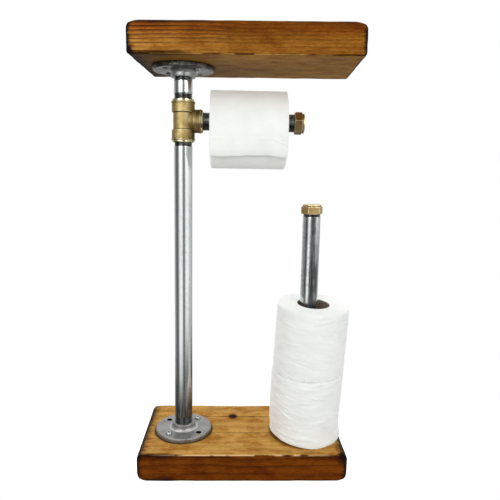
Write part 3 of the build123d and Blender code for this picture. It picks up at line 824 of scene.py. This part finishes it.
def makeTee(setup):
    low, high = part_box("tee")
    post = sum(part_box("main_post"), Vector()) / 2
    centre = Vector((post.x, post.y, (low.z + high.z) / 2))
    piece = softCopy("tee_cast", "tee", setup["voxel"], setup["passes"], Matrix.Translation(centre))
    x, y, z = readPoints(piece.data).T / mm
    aroundRun, aroundBranch = np.hypot(x, y), np.hypot(y, z)
    outside = (aroundRun > setup["bore"]) & (aroundBranch > setup["bore"] - 2) & (x > 0)
    runWall = np.where(np.abs(z) > setup["bodyHalf"], setup["collar"], setup["body"])
    narrow, begin, widen = setup["cone"]
    branchWall = np.clip(narrow + (x - begin) * widen, narrow, setup["collar"])  # a cone up to the collar
    apart = np.maximum(np.abs(aroundRun - runWall), np.abs(aroundBranch - branchWall))
    near = soften(1 - apart / setup["creaseReach"]) * outside
    group = piece.vertex_groups.new(name="crease")
    for index in np.nonzero(near > 0.02)[0]:
        group.add([int(index)], float(near[index]), "REPLACE")
    addSmoothing(piece, "cast fillet", setup["creasePasses"], "crease")
    bakeModifiers(piece)
    points = readPoints(piece.data) / mm
    reach = (high.x - centre.x) / mm
    half = (high.z - low.z) / 2 / mm
    pastEnd = np.maximum(np.abs(points[:, 2]) - half, points[:, 0] - reach)
    turned = soften((pastEnd + setup["rim"]) / setup["rimFade"])
    addRelief(piece.data, setup["relief"], setup["reliefPasses"])
    sand = noiseField(points, [setup["sand"]] * 3, setup["seed"])
    pushOut(piece.data, setup["grain"] * sand * (1 - turned))
    addAttribute(piece.data, "turned", turned)
    # tarnish with painted shade: the branch darkens brown away from the run, in patches
    patches = 0.75 + 0.5 * noiseField(points, [setup["branchPatch"]] * 3, setup["seed"] + 1)
    branch = soften((points[:, 0] - setup["branchFrom"]) / setup["branchFade"])
    addAttribute(piece.data, "tarnishAndShade", setup["branchTarnishAndShade"] * (branch * patches))
    finishPiece(piece, agedBrass("sand cast brass", setup), "stand", "tee")


makeTee(teeSetup)
capSkin = agedBrass("turned bar brass", capSetup)
for node, body in (("arm_cap", "arm_cap_nut"), ("spare_post_cap", "spare_cap_nut")):
    piece = softCopy(node + "_brass", node, capSetup["voxel"], capSetup["passes"])
    low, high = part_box(node)
    axis = 0 if node == "arm_cap" else 2
    points = readPoints(piece.data)
    past = (points[:, axis] - high[axis]) / mm + capSetup["fromEnd"]  # a turned groove behind the hexagon
    middle = np.array((low + high) / 2)
    spoke = points - middle
    spoke[:, axis] = 0
    size = np.linalg.norm(spoke, axis=1, keepdims=True)
    outer = (size > capSetup["wall"] * mm).astype(float)
    depth = capSetup["grooves"][node] * mm * np.exp(-(past / capSetup["grooveWidth"]) ** 2)[:, None] * outer
    points -= spoke / np.maximum(size, mm) * depth
    setPoints(piece.data, points)
    addRelief(piece.data, capSetup["relief"], capSetup["reliefPasses"])
    for name in ("turned", "tarnishAndShade"):
        addAttribute(piece.data, name, np.zeros(len(piece.data.vertices)))
    finishPiece(piece, capSkin, body, node)
print("brass fittings made")


# Fibre washers: plain rings, in the shape that the frame has

def redFibre():
    # Vulcanised fibre: dull brick red with fine paper flecks
    material, add, skin = newMaterial("vulcanised fibre")
    fleck = add("TexNoise", {"Detail": 3.0}, grainMm=(1.6, 1.6, 1.6))
    tone = add("ValToRGB", [fleck], stops=[(0.35, "#6d2018"), (0.65, "#8c3122")])
    setInputs(skin, {"Base Color": tone, "Roughness": 0.7})
    return material


washerSkin = redFibre()
for node in ("arm_cap_washer", "spare_post_cap_washer"):
    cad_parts[node].data.materials.clear()
    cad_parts[node].data.materials.append(washerSkin)


# Paper rolls: wound tissue on card cores, soft level creases where the paper has shifted

rollSetup = dict(outside=110.0, core=48.0, wall=0.9, gap=0.05, around=240, sideRows=130, endRows=26,
                 restsFrom=12.0, wideFolds=(0.8, (21, 21, 9)), fineFolds=(0.3, (9, 9, 4.5)),
                 creaseMargin=4, creaseReach=(5, 11), creaseWidth=(1.0, 2.0), creaseDepth=(0.3, 0.8),
                 ruffleReach=4, ruffleGrain=(7, 7, 12), flareAt=-68, flareReach=13, pinchReach=40,
                 layer=0.28, layerSwell=0.35, layerGrain=(26, 26, 26),
                 coreRows=70, seam=62, seamWidth=0.9, seamStep=0.22)
# Millimetres, apart from the slopes tilt, lift and slant; ruffle and edges are for the foot and the top
rolls = {  # long creases: degrees round, height, slope, reach, width, depth
    "lower_roll": dict(
        lean=5.6, tilt=(0.0, 0.085), lift=0.105, drop=0.0, slant=0.0, pinch=2.6, sag=0.0, flare=4.2,
        crease=1.5, creases=46, slopes=(-0.5, 0.15), ruffle=(0.4, 2.6), edges=(0.9, 2.2), seed=41,
        long=[(-112, 10.5, 0.02, 26, 2.0, 0.9), (-100, 97.0, -0.03, 24, 1.6, -0.7)]),
    "upper_roll": dict(
        lean=5.0, tilt=(0.085, 0.068), lift=0.0, drop=3.0, slant=0.04, pinch=0.0, sag=0.0, flare=0.0,
        crease=0.95, creases=40, slopes=(-0.3, 0.2), ruffle=(2.4, 0.9), edges=(2.0, 2.4), seed=42,
        long=[(-78, 92.0, 0.25, 14, 1.8, 0.7)]),
    "arm_roll": dict(
        lean=0.0, tilt=(0.0, 0.0), lift=0.0, drop=0.0, slant=0.0, pinch=0.0, sag=1.4, flare=0.0,
        crease=0.14, creases=12, slopes=(-0.3, 0.3), ruffle=(0.25, 0.25), edges=(2.0, 2.0), seed=43,
        long=[]),
}


def tissuePaper():
    # Two-ply tissue: soft white, faint crepe lines across the winding, no gloss, rims lit by loose fibres
    material, add, skin = newMaterial("tissue paper")
    crepe = add("TexNoise", {"Detail": 3.0}, grainMm=(3.6, 3.6, 1.1))
    cloud = add("TexNoise", {"Detail": 2.0}, grainMm=(22, 22, 22))
    tone = add("ValToRGB", [cloud], stops=[(0.3, "#e9ece7"), (0.7, "#f1f3ef")])
    bump = add("Bump", {"Height": crepe, "Strength": 0.35, "Distance": 0.15 * mm})
    setInputs(skin, {"Base Color": tone, "Roughness": 0.95, "Specular IOR Level": 0.15, "Sheen Weight": 1.0,
                     "Sheen Roughness": 0.6, "Normal": bump})
    return material


def greyCard():
    # Grey-brown core board: recycled card with flecks, wound on a slant
    material, add, skin = newMaterial("core board")
    fleck = add("TexNoise", {"Detail": 4.0, "Roughness": 0.7}, grainMm=(2.4, 2.4, 2.4))
    tone = add("ValToRGB", [fleck], stops=[(0.3, "#5d5142"), (0.5, "#776a58"), (0.7, "#8a7d6a")])
    bump = add("Bump", {"Height": fleck, "Strength": 0.3, "Distance": 0.1 * mm})
    setInputs(skin, {"Base Color": tone, "Roughness": 0.85, "Normal": bump})
    return material


def rollPlace(name):
    low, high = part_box(name + "_paper")
    centre = (low + high) / 2
    if name == "arm_roll":
        flat = Matrix.Rotation(math.pi / 2, 4, "Y")
        return Matrix.Translation((low.x, centre.y, centre.z)) @ flat, (high.x - low.x) / mm
    return Matrix.Translation((centre.x, centre.y, low.z)), (high.z - low.z) / mm


def creaseLine(angle, height, at, level, slope, reach, width):
    arc = ((angle - at + math.pi) % (2 * math.pi) - math.pi) * rollSetup["outside"] / 2
    off = (height[:, None] - level - slope * arc[None]) / width
    return np.exp(-(arc / reach) ** 2)[None] * (np.exp(-(off - 0.7) ** 2) - np.exp(-(off + 0.7) ** 2))


def endShift(look, share, x, y):
    low, high = look["tilt"]  # how far each end dips to the front
    # The left of the foot is raised
    raised = look["lift"] * np.clip(rollSetup["restsFrom"] - x, 0, None) * (1 - share) ** 2
    return (low + (high - low) * share) * y + raised - share * (look["drop"] + look["slant"] * x)


def makeRoll(name, look, paperSkin, cardSkin):
    setup = rollSetup
    dice = random.Random(look["seed"])
    place, length = rollPlace(name)
    outside = setup["outside"] / 2
    lowEdge, highEdge = look["edges"]
    bore = setup["core"] / 2 + setup["wall"] + setup["gap"]
    turn = np.linspace(0, math.pi / 2, 7)[1:]
    side = np.linspace(lowEdge, length - highEdge, setup["sideRows"])[1:-1]
    inside = np.linspace(length, 0, 10)[1:-1]
    foot, head = ([np.linspace(bore, outside - edge, setup["endRows"]), outside - edge + edge * np.sin(turn)]
                  for edge in look["edges"])
    radius = np.concatenate([*foot, np.full(len(side), outside), head[1][::-1], head[0][::-1],
                             np.full(len(inside), bore)])
    flatEnd = np.zeros(setup["endRows"])
    height = np.concatenate([flatEnd, lowEdge * (1 - np.cos(turn)), side,
                             length - highEdge * (1 - np.cos(turn[::-1])), flatEnd + length, inside])
    angle = np.linspace(0, 2 * math.pi, setup["around"], endpoint=False)
    skinned = soften((radius - (outside - 3)) / 2)[:, None]  # 1 on the winding's outside
    flat = (1 - skinned) * (radius > bore + 0.5)[:, None]
    spots = np.stack(np.broadcast_arrays(np.cos(angle)[None] * radius[:, None],
                                         np.sin(angle)[None] * radius[:, None], height[:, None]), axis=-1)
    wide, wideGrain = setup["wideFolds"]
    fine, fineGrain = setup["fineFolds"]
    push = look["crease"] * (wide * noiseField(spots, wideGrain, look["seed"])
                             + fine * noiseField(spots, fineGrain, look["seed"] + 1))
    for _ in range(look["creases"]):  # short shallow creases, each on one side of the roll
        at = dice.uniform(0, 2 * math.pi)
        level = dice.uniform(setup["creaseMargin"], length - setup["creaseMargin"])
        slope, reach, width = (dice.uniform(*span) for span in
                               (look["slopes"], setup["creaseReach"], setup["creaseWidth"]))
        depth = look["crease"] * dice.uniform(*setup["creaseDepth"]) * dice.choice((-1, 1))
        push = push + depth * creaseLine(angle, height, at, level, slope, reach, width)
    for at, *line, depth in look["long"]:
        push = push + depth * creaseLine(angle, height, math.radians(at), *line)
    lowRuffle, highRuffle = look["ruffle"]
    reach = setup["ruffleReach"]
    crumple = lowRuffle * np.exp(-height / reach) + highRuffle * np.exp((height - length) / reach)
    push = push + crumple[:, None] * (noiseField(spots, setup["ruffleGrain"], look["seed"] + 2) - 0.4)
    front = soften((0.25 + np.cos(angle - math.radians(setup["flareAt"]))) / 1.1)[None]  # widest at the front
    push = push + look["flare"] * np.exp(-(height[:, None] / setup["flareReach"]) ** 2) * front
    left = soften(-np.cos(angle))[None]
    push = push - look["pinch"] * np.exp(-(height[:, None] / setup["pinchReach"]) ** 2) * left
    # Winding layers on the end faces
    wind = np.array([dice.uniform(-setup["layer"], setup["layer"]) for _ in radius])[:, None]
    swell = setup["layerSwell"] * noiseField(spots, setup["layerGrain"], look["seed"] + 3)
    top = (height > length / 2)[:, None]
    lift = flat * (wind + swell)
    lift = np.where(top, np.minimum(lift, 0.15), np.maximum(-lift, -0.02))  # hardly past the flat ends
    across = radius[:, None] + skinned * push
    share = (height / length)[:, None]
    x, y = across * np.cos(angle), across * np.sin(angle)
    tall = height[:, None] + lift + endShift(look, share, x, y)
    slack = look["sag"] * ((radius - bore) / (outside - bore))[:, None]
    grid = np.stack([x + look["lean"] * (share - 0.5) + slack, y, tall], axis=-1)
    paper = addPiece(name + "_winding", ringMesh(name + "_winding", grid), place)
    finishPiece(paper, paperSkin, name, name + "_paper")

    rows = np.linspace(0, length, setup["coreRows"])
    tube = []
    for inner, order in ((0, rows), (1, rows[::-1])):
        level = order[:, None]
        seam = ((level / setup["seam"] - angle[None] / (2 * math.pi)) % 1.0 - 0.5) * setup["seam"]
        step = setup["seamStep"] * np.exp(-(seam / setup["seamWidth"]) ** 2)  # the card's winding seam
        size = setup["core"] / 2 + (inner * step + (1 - inner) * setup["wall"])
        x, y = size * np.cos(angle), size * np.sin(angle)
        tall = level + endShift(look, level / length, x, y)
        tube.append(np.stack([x + look["lean"] * (level / length - 0.5), y, tall], axis=-1))
    core = addPiece(name + "_core_tube", ringMesh(name + "_core_tube", np.concatenate(tube)), place)
    finishPiece(core, cardSkin, name, name + "_core")


paperSkin = tissuePaper()
cardSkin = greyCard()
for name, look in rolls.items():
    makeRoll(name, look, paperSkin, cardSkin)
    print("roll made:", name)


# Last sheet of the roll on the arm: over the top, down the front, torn off at its perforation

tailSetup = dict(length=120.0, thick=0.3, above=0.35, tornAngle=-50.3, rows=160, columns=132,
                 curl=5.6, curlFrom=0.74, tooth=4.2, toothDepth=1.0, toothSway=0.8, swayGrain=22, seed=51,
                 crease=(0.45, 0.808, 0.006),  # height, share along the sheet, width
                 fold=(0.6, 0.815, 0.007), foldFrom=86, foldFade=8, foldTurn=88, foldSlope=0.045 / 17,
                 tuck=0.65, tuckTo=0.06)


def makeTail(setup):
    place, width = rollPlace("arm_roll")
    roll = rollSetup["outside"] / 2
    run = np.linspace(0, 1, setup["rows"])[:, None]  # 0 where it leaves the roll, 1 at the torn edge
    level = np.linspace(0, width, setup["columns"])[None]
    spots = np.stack(np.broadcast_arrays(0 * run, level, 0 * run), axis=-1)
    sway = noiseField(spots, [setup["swayGrain"]] * 3, setup["seed"])
    teeth = setup["toothDepth"] * (np.abs(np.sin(math.pi * level / setup["tooth"])) - 0.5)
    teeth = teeth + setup["toothSway"] * sway
    step = (setup["length"] + teeth * soften((run - 0.9) / 0.1)) * run  # teeth in the last tenth
    angle = math.radians(setup["tornAngle"]) + (step - setup["length"]) / roll
    curl = soften((run - setup["curlFrom"]) / (1 - setup["curlFrom"])) ** 1.5
    curl = setup["curl"] * curl * (0.8 + 0.5 * sway)
    tall, at, wide = setup["crease"]
    crease = tall * np.exp(-((run - at) / wide) ** 2) * (0.6 + 0.4 * sway)
    tall, at, wide = setup["fold"]  # a fold that slants off near the right-hand edge
    slant = (level - setup["foldTurn"]) * setup["foldSlope"]
    fold = tall * np.exp(-((run - at - slant) / wide) ** 2)
    fold = fold * soften((level - setup["foldFrom"]) / setup["foldFade"])
    tuck = setup["tuck"] * soften((setup["tuckTo"] - run) / setup["tuckTo"])
    base = roll + setup["above"] + curl + crease + fold - tuck
    sag = rolls["arm_roll"]["sag"]
    sheets = [np.stack([(base + offset) * np.cos(angle) + sag, (base + offset) * np.sin(angle),
                        level + 0 * base], axis=-1) for offset in (0, setup["thick"])]
    count = base.size
    index = np.arange(count).reshape(base.shape)
    quads = np.stack([index[:-1, :-1], index[:-1, 1:], index[1:, 1:], index[1:, :-1]], axis=-1).reshape(-1, 4)
    border = np.concatenate([index[0], index[1:, -1], index[-1, -2::-1], index[-2:0:-1, 0]])
    following = np.roll(border, -1)
    rim = np.stack([border, following, following + count, border + count], axis=-1)
    faces = np.concatenate([quads, quads[:, ::-1] + count, rim])
    mesh = closedMesh("arm_roll_last_sheet", np.concatenate(sheets), faces)
    piece = addPiece("arm_roll_last_sheet", mesh, place)
    finishPiece(piece, paperSkin, "arm_roll", "arm_roll_tail_sheet")


makeTail(tailSetup)
print("last sheet made")
